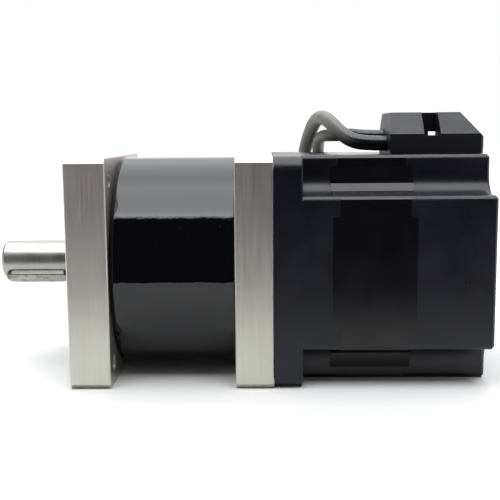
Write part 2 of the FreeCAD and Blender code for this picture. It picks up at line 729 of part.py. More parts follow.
def tooth_collar(x0, x1, r0, r1, half_outer, half_inner, wall):
    """A rectangular collar around one stator tooth."""
    solid = box(x0, x1, r0, r1, -half_outer, half_outer)
    return solid.cut(box(x0 + wall, x1 - wall, r0, r1, -half_inner, half_inner))


def tooth_bobbin():
    half = TOOTH_WIDTH / 2
    x0, x1 = FRONT_BELL_X - 0.8, STACK_X + 0.8
    return tooth_collar(x0, x1, BOBBIN_R0, BOBBIN_R1, half + 0.65, half + 0.05, 0.7)


def tooth_coil():
    half = TOOTH_WIDTH / 2
    return tooth_collar(COIL_X0, COIL_X1, COIL_R0, COIL_R1, half + 3.4, half + 0.7, 3.3)


def motor_shaft():
    shaft = turned([
        (MOTOR_SHAFT_X0, 0), (MOTOR_SHAFT_X0, MOTOR_SHAFT_R - 0.5), (MOTOR_SHAFT_X0 + 0.5, MOTOR_SHAFT_R),
        (FRONT_SEAT_X, MOTOR_SHAFT_R), (FRONT_SEAT_X, FRONT_SEAT_R), (FRONT_BOSS_X, FRONT_SEAT_R),
        (FRONT_BOSS_X, SHAFT_SHOULDER_R), (SHAFT_SHOULDER_X, SHAFT_SHOULDER_R),
        (SHAFT_SHOULDER_X, ROTOR_BORE_R), (SENSOR_MAGNET_X1, ROTOR_BORE_R), (SENSOR_MAGNET_X1, REAR_NECK_R),
        (REAR_SEAT_X, REAR_NECK_R), (REAR_SEAT_X, REAR_SEAT_R), (MOTOR_SHAFT_X1 - 0.5, REAR_SEAT_R),
        (MOTOR_SHAFT_X1, REAR_SEAT_R - 0.5), (MOTOR_SHAFT_X1, 0)])
    return shaft.cut(sun_key())


def rotor_core():
    core = tube(MAGNET_R0, ROTOR_BORE_R, ROTOR_X0, ROTOR_X1)
    for hole in around(cylinder(ROTOR_HOLE_R, ROTOR_X0, ROTOR_X1, ROTOR_HOLE_PCR), POLE_COUNT):
        core = core.cut(hole)
    return core


def magnet():
    """One arc magnet, narrower than a pole pitch."""
    arc = tube(MAGNET_R1, MAGNET_R0, ROTOR_X0, ROTOR_X1)
    span = math.radians(MAGNET_HALF_SPAN)
    reach = 2 * MAGNET_R1
    wedge = prism([(0, 0), (reach * math.cos(span), -reach * math.sin(span)),
                   (reach * math.cos(span), reach * math.sin(span))], ROTOR_X0, ROTOR_X1)
    return arc.common(wedge)


def hall_board():
    board = tube(BOARD_R1, BOARD_R0, BOARD_X0, BOARD_X1)
    for angle in (-45.0, 0.0, 45.0):
        sensor = box(BOARD_X0 - 1.5, BOARD_X0, 12.0, 15.0, -2.0, 2.0)
        board = board.fuse(rotated(sensor, angle + 90.0))
    plug = box(BOARD_X1, BOARD_X1 + 5.0, -6.0, 6.0, 22.0, 28.0)
    return board.fuse(plug).removeSplitter()


def rear_bell():
    bell = stepped_prism(STACK_X, REAR_X)
    bell = bell.makeChamfer(0.8, edges_at_end(bell, REAR_X))
    laps = stepped_prism(STACK_X - TAB_LENGTH, STACK_X + 0.5)
    blocks = Part.makeCompound(tab_blocks(STACK_X - TAB_LENGTH, STACK_X + 0.5))
    bell = bell.fuse(laps.common(blocks)).removeSplitter()
    x0, width, _, outer_r, _, _ = BALL_BEARINGS["rear_motor_bearing"]
    bell = bell.cut(tube(BELL_CAVITY_R, REAR_BOSS_R, STACK_X, REAR_X - REAR_WALL))
    bell = bell.cut(cylinder(BELL_CAVITY_R, STACK_X, x0))
    bell = bell.cut(cylinder(outer_r, x0, REAR_POCKET_X))
    posts = around(cylinder(2.6, BOARD_X1, REAR_X - 4.5, 30.0), 3, 90.0 / 2)
    for post in posts:
        bell = bell.fuse(post)
    bell = bell.removeSplitter().cut(box(LEAD_X0, LEAD_X1, -7.0, 7.0, 34.0, HALF))
    for y, z in bell_screw_places():
        bell = bell.cut(cylinder(BELL_SCREW_R + 0.2, STACK_X - TAB_LENGTH, REAR_X, y, z))
        bell = bell.cut(cylinder(BELL_SCREW_HEAD_R + 0.25, REAR_X - BELL_SCREW_POCKET, REAR_X, y, z))
    return bell.cut(Part.makeCylinder(COVER_SCREW_R, 6, vec(COVER_SCREW_X, COVER_SCREW_Y, HALF - 6)))


def preload_washer():
    """Coned spring washer between the rear bearing and the bell."""
    x = 153.0
    return turned([(x, 17.3), (x + 0.4, 17.3), (x + 1.3, 14.4), (x + 0.9, 14.4)])


# Cable cover, its screws and the cables


def cover_outline(inset, top):
    """The cover seen along X: upright sides, a sloped shoulder on the near side and a flat top."""
    return [
        (-COVER_HALF + inset, HALF), (-COVER_HALF + inset, COVER_SHOULDER - 0.4 * inset),
        (-COVER_HALF + COVER_SLOPE + 0.6 * inset, top), (COVER_HALF - 0.4 - inset, top),
        (COVER_HALF - inset, COVER_SHOULDER), (COVER_HALF - inset, HALF)]


def prism_along_y(outline, y0, y1):
    """A prism along Y from (x, z) points."""
    corners = [vec(x, y0, z) for x, z in outline]
    wire = Part.makePolygon(corners + [corners[0]])
    return Part.Face(wire).extrude(vec(0, y1 - y0, 0))


def cable_cover():
    reach = COVER_HALF + 5
    high = COVER_TOP + 5
    hollow_top = SLOT_FLOOR - 1.4
    cover = prism(cover_outline(0.0, COVER_TOP), COVER_X0, COVER_X1)
    rear_edges = [e for e in edges_at_end(cover, COVER_X1) if e.BoundBox.YLength < 0.01]
    cover = cover.makeChamfer(0.9, rear_edges)
    bevel_z = COVER_SHOULDER - REAR_BEVEL
    rise = (high - COVER_SHOULDER) / (COVER_TOP - COVER_SHOULDER)
    slope_end_x = REAR_SLOPE_X + (REAR_SLOPE_TOP_X - REAR_SLOPE_X) * rise
    cover = cover.cut(prism_along_y([
        (COVER_X1, bevel_z), (COVER_X1 + 1, bevel_z), (COVER_X1 + 1, high), (slope_end_x, high),
        (REAR_SLOPE_X, COVER_SHOULDER)], -reach, reach))
    cover = cover.cut(prism_along_y([
        (COVER_X0, COVER_SHOULDER), (COVER_X0 + 1.7, high), (COVER_X0 - 1, high),
        (COVER_X0 - 1, COVER_SHOULDER)], -reach, reach))
    inside = COVER_HALF - COVER_WALL
    cover = cover.cut(box(COVER_X0 + COVER_WALL, COVER_X1 - COVER_WALL, -inside, inside, HALF, hollow_top))
    front = prism(cover_outline(COVER_WALL, COVER_TOP - COVER_WALL), COVER_X0 + 3.4, SLOT_X0 - 1.6)
    cover = cover.cut(front)
    for y0, y1 in ((-reach, RIB_Y0), (RIB_Y1, reach)):
        cover = cover.cut(box(SLOT_X0, SLOT_X1, y0, y1, SLOT_FLOOR, high))
    passage_top = SLOT_FLOOR + PASSAGE_HEIGHT
    cover = cover.cut(box(PASSAGE_X0, PASSAGE_X1, RIB_Y0 - 4.7, reach, SLOT_FLOOR, passage_top))
    pillar = Part.makeCylinder(3.0, hollow_top - HALF + 0.5, vec(COVER_SCREW_X, COVER_SCREW_Y, HALF))
    cover = cover.fuse(pillar).removeSplitter()
    cover = cover.cut(Part.makeCylinder(COVER_SCREW_R + 0.2, high, vec(COVER_SCREW_X, COVER_SCREW_Y, HALF)))
    cover = cover.cut(Part.makeCylinder(2.5, high, vec(COVER_SCREW_X, COVER_SCREW_Y, COVER_SCREW_SEAT)))
    for route, radius in ((POWER_ROUTE, POWER_CABLE_R), (SIGNAL_ROUTE, SIGNAL_CABLE_R)):
        x, y, z = route[0]
        cover = cover.cut(cylinder(radius + GROMMET_EDGE, x - 1, x + 3.6, y, z))
    return cover


def cover_screw():
    head = Part.makeCylinder(2.3, 1.9, vec(COVER_SCREW_X, COVER_SCREW_Y, COVER_SCREW_SEAT))
    length = COVER_SCREW_SEAT - HALF + 5.5
    tip = vec(COVER_SCREW_X, COVER_SCREW_Y, COVER_SCREW_SEAT - length)
    shank = Part.makeCylinder(COVER_SCREW_R, length, tip)
    screw = head.fuse(shank).removeSplitter()
    for turn in (0, 90):
        slot = box(-1.5, 1.5, -0.3, 0.3, 0.8, 3.0)
        slot.rotate(ORIGIN, vec(0, 0, 1), turn)
        slot.translate(vec(COVER_SCREW_X, COVER_SCREW_Y, COVER_SCREW_SEAT))
        screw = screw.cut(slot)
    return screw


def cable_grommet(route, radius):
    """Rubber plug in the cover's wall, which the cable meets at the outer face."""
    x, y, z = route[0]
    return cylinder(radius + GROMMET_EDGE, x, x + 1.9, y, z)


def rounded_path(points):
    """Straight runs joined by tangent arcs, each as large as its two runs allow."""
    corners = [vec(*p) for p in points]
    edges = []
    radii = []
    start = corners[0]
    for i in range(1, len(corners) - 1):
        back = corners[i - 1] - corners[i]
        ahead = corners[i + 1] - corners[i]
        run = min(back.Length, ahead.Length)
        back.normalize()
        ahead.normalize()
        turn = math.pi - back.getAngle(ahead)
        reach = 0.45 * run
        radii.append(reach / math.tan(turn / 2))
        a = corners[i] + back * reach
        b = corners[i] + ahead * reach
        bisector = back + ahead
        bisector.normalize()
        depth = radii[-1] / math.cos(turn / 2) - radii[-1]
        edges.append(Part.LineSegment(start, a).toShape())
        edges.append(Part.Arc(a, corners[i] + bisector * depth, b).toShape())
        start = b
    edges.append(Part.LineSegment(start, corners[-1]).toShape())
    return Part.Wire(edges), radii


def cable(node, points, radius):
    path, radii = rounded_path(points)
    first = vec(*points[0])
    direction = vec(*points[1]) - first
    section = Part.Wire(Part.makeCircle(radius, first, direction))
    body = path.makePipeShell([section], True, False)
    expected = math.pi * radius ** 2 * path.Length
    print(node, "length", round(path.Length, 1), "volume / expected", round(body.Volume / expected, 4))
    print("  bend radii", [round(r, 1) for r in radii])
    save(node, body)


def connector(points, length, width, height, columns):
    """Free plug on a cable's end: a neck that the cable meets, a housing with pin cavities and a latch."""
    end = vec(*points[-1])
    way = end - vec(*points[-2])
    neck = 4.0
    floor = -HALF - end.z
    top = floor + height
    body = box(neck, neck + length, -width / 2, width / 2, floor, top)
    body = body.makeChamfer(0.6, [e for e in body.Edges if e.BoundBox.XLength > length - 0.1])
    body = body.fuse(box(0, neck + 1, -width / 3, width / 3, floor + 0.3, top - 0.6))
    pitch = width / (columns + 0.6)
    hole = min(pitch, height) * 0.34
    middle = floor + height / 2
    end_x = neck + length
    for column in range(columns):
        y = (column - (columns - 1) / 2) * pitch
        body = body.cut(box(end_x - 6, end_x, y - hole, y + hole, middle - hole, middle + hole))
    latch = box(neck + 0.35 * length, neck + 0.9 * length, -0.16 * width, 0.16 * width, top - 0.2, top + 1.4)
    body = body.fuse(latch).removeSplitter()
    body.rotate(ORIGIN, vec(0, 0, 1), math.degrees(math.atan2(way.y, way.x)))
    body.translate(end)
    return body


def build_reducer():
    save("output_flange", output_flange())
    save("ring_gear_housing", ring_gear_housing())
    save("adapter_plate", adapter_plate())
    save("output_shaft_seal", [lip_seal(SEAL_X0, SEAL_X1, SEAT_R, SEAL_R), garter_spring()])
    save("input_shaft_seal", lip_seal(INPUT_SEAL_X0, INPUT_SEAL_X1, HUB_R, INPUT_SEAL_R))
    save("output_shaft", output_shaft())
    save("shaft_key", shaft_key())
    save("shaft_retaining_ring", circlip(SEAT_R - 0.5, 12.0, SHAFT_CLIP_X0, SHAFT_CLIP_X1, 12.2, 1.5, 3.0))
    save("bearing_retaining_ring", circlip(19.4, CLIP_GROOVE_R, CLIP_X0, CLIP_X1, 18.6, 1.7, 3.0))
    save("outer_race_spacer", tube(20.9, 18.4, 17.5, 19.5))
    save("inner_race_spacer", tube(12.6, 10.0, 17.5, 19.5))
    save("carrier_rear_plate", carrier_rear_plate())
    save("carrier_screws", around(carrier_screw(REAR_PLATE_X1), PLANET_COUNT, 45.0))
    pin = cylinder(PIN_R, CARRIER_X0, REAR_PLATE_X1, CENTRE_DISTANCE)
    save("planet_pins", around(pin, PLANET_COUNT))
    front_washer = tube(8.0, PIN_R, CARRIER_X1, PLANET_X0 - 0.05, CENTRE_DISTANCE)
    rear_washer = tube(8.0, PIN_R, PLANET_X1 + 0.05, REAR_PLATE_X0, CENTRE_DISTANCE)
    save("thrust_washers", around(front_washer, PLANET_COUNT) + around(rear_washer, PLANET_COUNT))
    gear = planet_gear()
    bush = tube(BUSH_R, PIN_R + PIN_GAP, PLANET_X0, PLANET_X1, CENTRE_DISTANCE)
    for k in range(PLANET_COUNT):
        angle = 360.0 * k / PLANET_COUNT
        save("planet_gear_%d" % (k + 1), rotated(gear, angle))
        save("planet_bush_%d" % (k + 1), rotated(bush, angle))
    save("sun_gear", sun_gear())
    save("sun_gear_key", sun_key())
    ring_r = TUBE_BORE_R - SPIGOT_GAP - O_RING_R
    save("housing_o_ring", Part.makeTorus(ring_r, O_RING_R, vec(O_RING_X, 0, 0), AXIS))
    flange_screw = cap_screw(FLANGE_HEAD_X, HOUSING_SCREW_R, HOUSING_SCREW_HEAD_R, HOUSING_SCREW_HEAD,
                             FLANGE_SHANK)
    save("flange_screws", housing_screw_ring(flange_screw))
    adapter_screw = cap_screw(ADAPTER_HEAD_X, HOUSING_SCREW_R, HOUSING_SCREW_HEAD_R, HOUSING_SCREW_HEAD,
                              -ADAPTER_SHANK)
    save("adapter_screws", housing_screw_ring(adapter_screw))
    save("motor_mounting_screws", at_corners(lambda y, z: cap_screw(
        MOTOR_SCREW_HEAD_X, MOTOR_SCREW_R, MOTOR_SCREW_HEAD_R, MOTOR_SCREW_HEAD, MOTOR_SCREW_SHANK, y, z)))


def build_motor():
    save("front_bell", front_bell())
    save("stator_stack", stator_stack())
    save("stator_bobbins", around(tooth_bobbin(), SLOT_COUNT))
    save("stator_coils", around(tooth_coil(), SLOT_COUNT))
    save("motor_shaft", motor_shaft())
    save("rotor_core", rotor_core())
    save("rotor_magnets", around(magnet(), POLE_COUNT))
    save("sensor_magnet", tube(SENSOR_MAGNET_R, ROTOR_BORE_R, ROTOR_X1, SENSOR_MAGNET_X1))
    save("hall_sensor_board", hall_board())
    save("rear_bell", rear_bell())
    save("bearing_preload_washer", preload_washer())
    shank = REAR_X - BELL_SCREW_POCKET - MOTOR_FLANGE_X - 2
    save("bell_screws", [cap_screw(REAR_X - 0.5, BELL_SCREW_R, BELL_SCREW_HEAD_R, 4.0, -shank, y, z)
                         for y, z in bell_screw_places()])
    save("cable_cover", cable_cover())
    save("cover_screw", cover_screw())


def build_cables():
    save("cable_grommets", [cable_grommet(POWER_ROUTE, POWER_CABLE_R),
                            cable_grommet(SIGNAL_ROUTE, SIGNAL_CABLE_R)])
    cable("power_cable", POWER_ROUTE, POWER_CABLE_R)
    cable("signal_cable", SIGNAL_ROUTE, SIGNAL_CABLE_R)
    save("power_connector", connector(POWER_ROUTE, 22.0, 16.0, 8.5, 3))
    save("signal_connector", connector(SIGNAL_ROUTE, 16.0, 13.0, 6.6, 5))


os.makedirs("parts", exist_ok=True)
build_reducer()
for bearing in BALL_BEARINGS:
    ball_bearing(bearing)
build_motor()
build_cables()
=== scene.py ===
"""Looks of an inline gear reducer with its motor: materials, leads, light and camera."""
import json
import math

import bpy
from mathutils import Matrix, Vector


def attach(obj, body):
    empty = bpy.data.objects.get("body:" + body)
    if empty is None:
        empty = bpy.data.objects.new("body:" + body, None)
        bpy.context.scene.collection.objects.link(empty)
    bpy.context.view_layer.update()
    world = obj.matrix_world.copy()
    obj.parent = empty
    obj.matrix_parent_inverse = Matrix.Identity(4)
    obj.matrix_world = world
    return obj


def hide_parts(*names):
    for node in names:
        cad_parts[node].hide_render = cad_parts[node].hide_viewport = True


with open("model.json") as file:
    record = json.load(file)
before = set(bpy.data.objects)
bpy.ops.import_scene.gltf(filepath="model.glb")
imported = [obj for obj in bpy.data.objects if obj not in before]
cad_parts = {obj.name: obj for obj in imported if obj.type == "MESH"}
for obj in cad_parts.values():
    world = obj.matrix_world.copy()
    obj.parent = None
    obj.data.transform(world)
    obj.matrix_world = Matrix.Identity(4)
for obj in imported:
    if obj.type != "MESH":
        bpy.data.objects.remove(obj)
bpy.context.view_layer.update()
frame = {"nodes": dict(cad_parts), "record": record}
NODES = frame["nodes"]

MM = 0.001
FLOOR_Z = -0.043

# The leads' routes, in millimetres, as in the CAD source.
POWER_CABLE_R = 3.0
SIGNAL_CABLE_R = 2.6
POWER_ROUTE = [
    (121.7, -5.0, 47.0), (114.5, -5.0, 47.0), (108.2, -3.6, 48.0), (103.2, 0.4, 51.8), (99.8, 7.2, 56.2),
    (97.4, 16.4, 58.0), (95.6, 26.8, 57.0), (93.8, 37.0, 52.6), (92.0, 46.5, 45.2), (90.6, 53.5, 35.0),
    (89.4, 58.0, 21.0), (88.6, 60.0, 4.0), (88.8, 61.0, -13.0), (92.0, 62.5, -28.5), (101.5, 65.5, -38.0),
    (115.0, 68.0, -40.0), (130.0, 72.5, -40.0), (144.5, 82.0, -40.0), (150.5, 98.0, -40.0),
    (144.5, 114.0, -40.0), (129.5, 122.5, -40.0), (112.5, 123.5, -40.0), (96.0, 120.0, -40.0)]
SIGNAL_ROUTE = [
    (121.7, 4.6, 49.7), (114.6, 4.6, 49.7), (108.0, 8.2, 50.6), (102.6, 15.2, 50.2), (98.8, 24.4, 50.2),
    (97.2, 34.4, 48.6), (97.4, 43.4, 42.2), (98.2, 50.2, 31.5), (98.6, 52.8, 17.5), (98.0, 54.0, 1.0),
    (94.0, 54.8, -16.0), (86.0, 55.8, -30.5), (73.5, 57.0, -39.0), (57.0, 58.0, -40.4), (39.0, 57.5, -40.4),
    (21.5, 61.0, -40.4), (7.5, 71.5, -40.4), (2.5, 88.0, -40.4), (8.5, 104.0, -40.4), (23.0, 113.5, -40.4),
    (40.0, 114.0, -40.4)]

LEAD_STEPS_ALONG = 16
LEAD_STEPS_ROUND = 6

# The black sleeve fades in along X, from the first number to the second, and only above the shaft.
SLEEVE_X = (0.096, 0.109)
SLEEVE_Z = (0.0, 0.02)

# Camera: its place in millimetres, its angles in radians
CAMERA_PLACE = (73.109, -357.069, 51.867)
CAMERA_PITCH = 0.137
CAMERA_YAW = -0.018
CAMERA_ROLL = 0.008
FOCAL_PX = 871.5
CENTRE_PX = (249.6, 252.1)
FRAME_PX = 500
SENSOR_MM = 36.0
CLIP_START = 0.01

# Light overhead: (turn from the front horizon over the top, in half turns; brightness; tint).
# Towards each end of the X axis it gives way to an even level, over a span of that axis's cosine.
SKY = [
    (0.0, 0.055, 1.06), (0.290, 0.055, 1.06), (0.308, 6.6, 1.02), (0.345, 4.9, 1.03), (0.50, 4.5, 1.03),
    (0.60, 3.0, 1.03), (0.80, 1.8, 1.02), (0.86, 1.2, 1.0), (0.91, 1.35, 1.0), (0.99, 1.35, 1.0)]
SKY_PEAK = 6.6
SIDE_SPAN = (0.30, 0.52)
SIDE_LEVEL = 0.55
FLOOR_FRONT_Y = -0.168
FLOOR_REACH = 4.0

# Colours: linear red, green and blue, then alpha
# Aluminium streak tones, each in two copies: one for low down, tinted yellow as painted reflection of the
# floor, and one for high up, tinted warm as painted reflection of the light.
ALUMINIUM_DARK_STREAK_PAINTED_FLOOR_REFLECTION = (0.58, 0.575, 0.50, 1)
ALUMINIUM_DARK_STREAK_PAINTED_TOP_REFLECTION = (0.64, 0.575, 0.56, 1)
ALUMINIUM_LIGHT_STREAK_PAINTED_FLOOR_REFLECTION = (0.66, 0.655, 0.57, 1)
ALUMINIUM_LIGHT_STREAK_PAINTED_TOP_REFLECTION = (0.72, 0.65, 0.63, 1)
ALUMINIUM_SMUDGE = (0.56, 0.53, 0.48, 1)
ENAMEL_BLACK = (0.0004, 0.0004, 0.0019, 1)
ENAMEL_DUST = (0.02, 0.019, 0.020, 1)
CASTING_BLACK = (0.0014, 0.0015, 0.0058, 1)
MAGNET_BLACK = (0.03, 0.03, 0.033, 1)
SHEET_DARK = (0.0008, 0.0007, 0.0016, 1)
SHEET_LIGHT = (0.0020, 0.0018, 0.0030, 1)
SHAFT_STEEL = (0.35, 0.345, 0.32, 1)
GEAR_STEEL = (0.42, 0.42, 0.43, 1)
BEARING_STEEL = (0.66, 0.66, 0.67, 1)
SPRING_STEEL = (0.13, 0.13, 0.14, 1)
ROTOR_IRON = (0.32, 0.31, 0.30, 1)
SCREW_BLACK = (0.035, 0.035, 0.038, 1)
KEY_DARK = (0.35, 0.34, 0.31, 1)
KEY_LIGHT = (0.42, 0.41, 0.375, 1)
KEY_STAIN = (0.15, 0.12, 0.08, 1)
# Painted shade for the key's upper side, where it meets the shaft.
KEY_PAINTED_SHADE = (0.15, 0.15, 0.133, 1)
BRONZE_DARK = (0.50, 0.33, 0.16, 1)
BRONZE_LIGHT = (0.68, 0.47, 0.25, 1)
BRONZE_PORE = (0.14, 0.09, 0.05, 1)
COPPER = (0.78, 0.30, 0.11, 1)
COPPER_GAP = (0.25, 0.07, 0.02, 1)
BOARD_DARK = (0.010, 0.10, 0.035, 1)
BOARD_LIGHT = (0.014, 0.13, 0.045, 1)
BOARD_TRACK = (0.03, 0.20, 0.08, 1)
COVER_BLACK = (0.0008, 0.0009, 0.0042, 1)
SEAL_BLACK = (0.012, 0.012, 0.013, 1)
SLEEVE_BLACK = (0.0035, 0.0035, 0.0065, 1)
JACKET_DARK = (0.20, 0.197, 0.175, 1)
JACKET_LIGHT = (0.27, 0.265, 0.24, 1)
BOBBIN_CREAM = (0.66, 0.63, 0.55, 1)
CONNECTOR_WHITE = (0.72, 0.69, 0.61, 1)
FLOOR_DARK = (0.76, 0.757, 0.745, 1)
FLOOR_LIGHT = (0.78, 0.777, 0.765, 1)

# Surfaces: the usual range of a noise, the solid part of a speck, how much of each colour a stain leaves,
# the direction of the key's upper side, which is painted in shade, and the scale that gives 0.8 mm turns of
# wire.
NOISE_LOW = 0.3
NOISE_HIGH = 0.7
SPECK_CORE = 0.6
STAIN_SHARE = (0.50, 0.44, 0.36)
KEY_SHADED_SIDE = (0.0, -0.669, 0.743)
WIRE_RINGS = 195.0
FLOOR_ROUGH = 0.9


def place_camera():
    """Camera at the photograph's place, with a shift that only centres its frame."""
    ahead = Vector((math.sin(CAMERA_YAW) * math.cos(CAMERA_PITCH),
                    math.cos(CAMERA_YAW) * math.cos(CAMERA_PITCH), -math.sin(CAMERA_PITCH)))
    right = Vector((math.cos(CAMERA_YAW), -math.sin(CAMERA_YAW), 0))
    down = ahead.cross(right)
    c, s = math.cos(CAMERA_ROLL), math.sin(CAMERA_ROLL)
    right, down = c * right + s * down, c * down - s * right
    data = bpy.data.cameras.new("camera")
    data.sensor_width = SENSOR_MM
    data.lens = FOCAL_PX / FRAME_PX * SENSOR_MM
    data.shift_x = (FRAME_PX / 2 - CENTRE_PX[0]) / FRAME_PX
    data.shift_y = (CENTRE_PX[1] - FRAME_PX / 2) / FRAME_PX
    data.clip_start = CLIP_START
    camera = bpy.data.objects.new("camera", data)
    turn = Matrix((right, -down, -ahead)).transposed().to_4x4()
    camera.matrix_world = Matrix.Translation(Vector(CAMERA_PLACE) * MM) @ turn
    bpy.context.scene.collection.objects.link(camera)
    bpy.context.scene.camera = camera


class Graph:
    """A node tree being built, with short ways to add to it."""

    def __init__(self, tree):
        self.nodes = tree.nodes
        self.links = tree.links

    def new(self, kind, **fields):
        node = self.nodes.new(kind)
        for key, value in fields.items():
            setattr(node, key, value)
        return node

    def feed(self, socket, value):
        if hasattr(value, "is_output"):
            self.links.new(value, socket)
        else:
            socket.default_value = value

    def fit(self, value, low, high, to_low=0.0, to_high=1.0, smooth=False):
        """Maps low..high onto to_low..to_high, and holds what lies outside."""
        node = self.new("ShaderNodeMapRange", interpolation_type="SMOOTHSTEP" if smooth else "LINEAR")
        self.feed(node.inputs["Value"], value)
        for key, number in (("From Min", low), ("From Max", high), ("To Min", to_low), ("To Max", to_high)):
            node.inputs[key].default_value = number
        return node.outputs["Result"]

    def spread(self, noise, to_low=0.0, to_high=1.0):
        """Maps the range that a noise mostly keeps to onto to_low..to_high."""
        return self.fit(noise, NOISE_LOW, NOISE_HIGH, to_low, to_high)

    def axis(self, vector, name):
        node = self.new("ShaderNodeSeparateXYZ")
        self.feed(node.inputs[0], vector)
        return node.outputs[name]

    def math(self, operation, *values):
        node = self.new("ShaderNodeMath", operation=operation)
        for socket, value in zip(node.inputs, values):
            self.feed(socket, value)
        return node.outputs["Value"]

    def mix(self, factor, a, b):
        node = self.new("ShaderNodeMix", data_type="RGBA")
        self.feed(node.inputs["Factor"], factor)
        self.feed(node.inputs["A"], a)
        self.feed(node.inputs["B"], b)
        return node.outputs["Result"]


class Shader(Graph):
    """A material being built round its Principled BSDF."""

    def __init__(self, name, **settings):
        self.material = bpy.data.materials.new(name)
        self.material.use_nodes = True
        super().__init__(self.material.node_tree)
        self.bsdf = self.nodes["Principled BSDF"]
        self.place = self.new("ShaderNodeTexCoord").outputs["Object"]
        for key, value in settings.items():
            self.bsdf.inputs[key.replace("_", " ")].default_value = value

    def stretched(self, x, y, z):
        """The place with its axes scaled, for noise that is longer one way than another."""
        node = self.new("ShaderNodeVectorMath", operation="MULTIPLY")
        self.feed(node.inputs[0], self.place)
        node.inputs[1].default_value = (x, y, z)
        return node.outputs["Vector"]

    def noise(self, where, scale=1.0, detail=2.0, roughness=0.5):
        node = self.new("ShaderNodeTexNoise")
        self.feed(node.inputs["Vector"], where)
        node.inputs["Scale"].default_value = scale
        node.inputs["Detail"].default_value = detail
        node.inputs["Roughness"].default_value = roughness
        return node.outputs["Fac"]

    def specks(self, scale, size):
        """1 in small scattered dots with soft edges, and 0 elsewhere."""
        node = self.new("ShaderNodeTexVoronoi", feature="F1")
        self.feed(node.inputs["Vector"], self.place)
        node.inputs["Scale"].default_value = scale
        return self.fit(node.outputs["Distance"], size * SPECK_CORE, size, 1.0, 0.0)

    def bump(self, painted_tint_by_height, distance, strength, target="Normal"):
        node = self.new("ShaderNodeBump")
        node.inputs["Strength"].default_value = strength
        node.inputs["Distance"].default_value = distance
        self.feed(node.inputs["Height"], painted_tint_by_height)
        self.links.new(node.outputs["Normal"], self.bsdf.inputs[target])

    def colour(self, value):
        self.feed(self.bsdf.inputs["Base Color"], value)

    def rough(self, value):
        self.feed(self.bsdf.inputs["Roughness"], value)


def scaled(colour, factor):
    """A colour times a factor, never past white."""
    return tuple(min(1.0, c * factor) for c in colour[:3]) + (1,)


def grey(level):
    return (level, level, level, 1)


def brushed_aluminium(name):
    """Plates brushed along Z, tinted by height with painted reflection: warmer towards the top, where the
    light is, and yellower towards the floor.
    """
    s = Shader(name, Metallic=1.0)
    streaks = s.noise(s.stretched(2600, 2600, 45), detail=3.0, roughness=0.7)
    broad = s.noise(s.stretched(500, 500, 12), detail=2.0)
    smudge = s.noise(s.place, scale=45.0, detail=3.0)
    shade = s.math("ADD", s.math("MULTIPLY", streaks, 0.7), s.math("MULTIPLY", broad, 0.3))
    # Painted reflection: the colour goes warmer towards the top and yellower towards the floor.
    painted_tint_by_height = s.fit(s.axis(s.place, "Z"), low=-0.03, high=0.03)
    darker = s.mix(painted_tint_by_height, ALUMINIUM_DARK_STREAK_PAINTED_FLOOR_REFLECTION, ALUMINIUM_DARK_STREAK_PAINTED_TOP_REFLECTION)
    lighter = s.mix(painted_tint_by_height, ALUMINIUM_LIGHT_STREAK_PAINTED_FLOOR_REFLECTION, ALUMINIUM_LIGHT_STREAK_PAINTED_TOP_REFLECTION)
    plain = s.mix(s.spread(shade), darker, lighter)
    s.colour(s.mix(s.fit(smudge, low=0.5, high=0.8, to_high=0.3), plain, ALUMINIUM_SMUDGE))
    worn = s.math("ADD", streaks, s.math("MULTIPLY", smudge, 0.5))
    s.rough(s.fit(worn, low=0.4, high=1.1, to_low=0.30, to_high=0.48))
    s.bump(streaks, distance=0.00001, strength=0.3)
    return s.material


def gloss_black_enamel(name):
    """Thick black enamel: all its gloss is in the coat, which is a little uneven and dusty."""
    s = Shader(name, Coat_Weight=1.0, Coat_IOR=1.5, Coat_Roughness=0.03, Specular_IOR_Level=0.0)
    dust = s.specks(scale=420.0, size=0.07)
    peel = s.noise(s.place, scale=330.0, detail=2.0, roughness=0.45)
    s.colour(s.mix(dust, ENAMEL_BLACK, ENAMEL_DUST))
    s.rough(s.spread(s.noise(s.place, scale=90.0, detail=3.0), 0.18, 0.30))
    uneven = s.math("ADD", peel, s.math("MULTIPLY", dust, 0.3))
    s.bump(uneven, distance=0.00010, strength=0.35, target="Coat Normal")
    return s.material


def satin_casting(name, colour, rough, grain, depth):
    """Black finish over metal with a fine, even grain and faint cloudiness."""
    s = Shader(name, Specular_IOR_Level=0.44)
    fine = s.noise(s.place, scale=grain, detail=3.0, roughness=0.6)
    cloud = s.noise(s.place, scale=60.0, detail=4.0, roughness=0.6)
    s.colour(s.mix(s.fit(cloud, low=0.35, high=0.75), colour, scaled(colour, 1.7)))
    s.rough(s.math("ADD", s.spread(cloud, rough - 0.05, rough + 0.07), s.spread(fine, -0.04, 0.04)))
    s.bump(fine, distance=depth, strength=0.6)
    return s.material


def laminations(name):
    """Blackened edges of thin sheets, which lie one on the other along X."""
    s = Shader(name, Specular_IOR_Level=0.40)
    sheets = s.noise(s.stretched(2000, 30, 30), detail=1.0)
    cloud = s.noise(s.place, scale=70.0, detail=4.0, roughness=0.6)
    s.colour(s.mix(s.spread(sheets), SHEET_DARK, SHEET_LIGHT))
    s.rough(s.spread(cloud, 0.20, 0.28))
    s.bump(sheets, distance=0.00003, strength=0.4)
    return s.material


